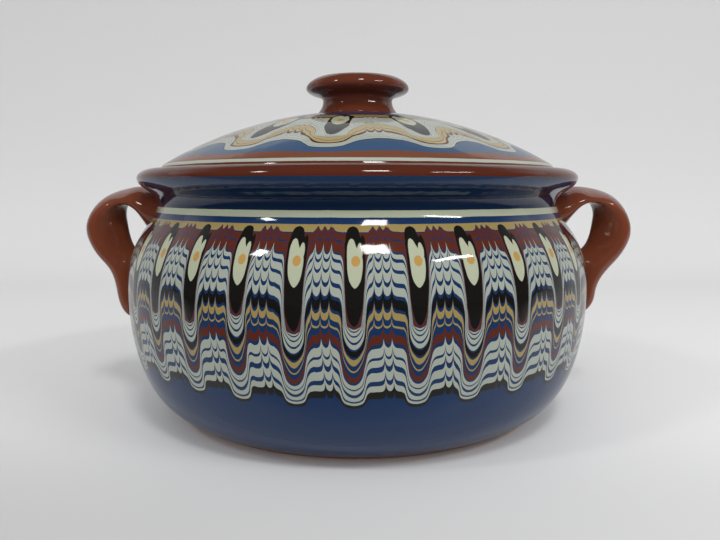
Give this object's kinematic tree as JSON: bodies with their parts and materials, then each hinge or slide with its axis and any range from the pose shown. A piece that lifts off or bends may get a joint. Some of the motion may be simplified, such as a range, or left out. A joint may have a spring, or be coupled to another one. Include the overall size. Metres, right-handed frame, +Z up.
{
  "type": "lidded cooking pot",
  "caption": "Round-bellied earthenware cooking pot with strap handles under a rolled rim and a domed lift-off lid with a flared knob.",
  "frame": {"origin": "centre of the flat foot, on the surface the pot stands on", "axes": "+Z up along the throwing axis, the two handles stand along -X and +X, -Y faces the camera of the picture"},
  "size_m": [0.3192, 0.26, 0.1894],
  "materials": {
    "bowl_glaze": "clear gloss glaze over dark blue slip with combed cream, ochre, brown and black slip bands",
    "lid_glaze": "clear gloss glaze over blue slip with combed cream and ochre slip rings",
    "brown_glaze": "clear gloss glaze over red-brown clay"
  },
  "bodies": {
    "pot": {"bowl": "bowl_glaze", "left_handle": "brown_glaze", "right_handle": "brown_glaze"},
    "lid": {"lid": "lid_glaze", "lid_knob": "brown_glaze"}
  },
  "joints": [
    {"name": "lid_lift", "type": "slide", "parent": "pot", "child": "lid", "axis": [0, 0, 1], "range_m": [0, 0.25]}
  ]
}
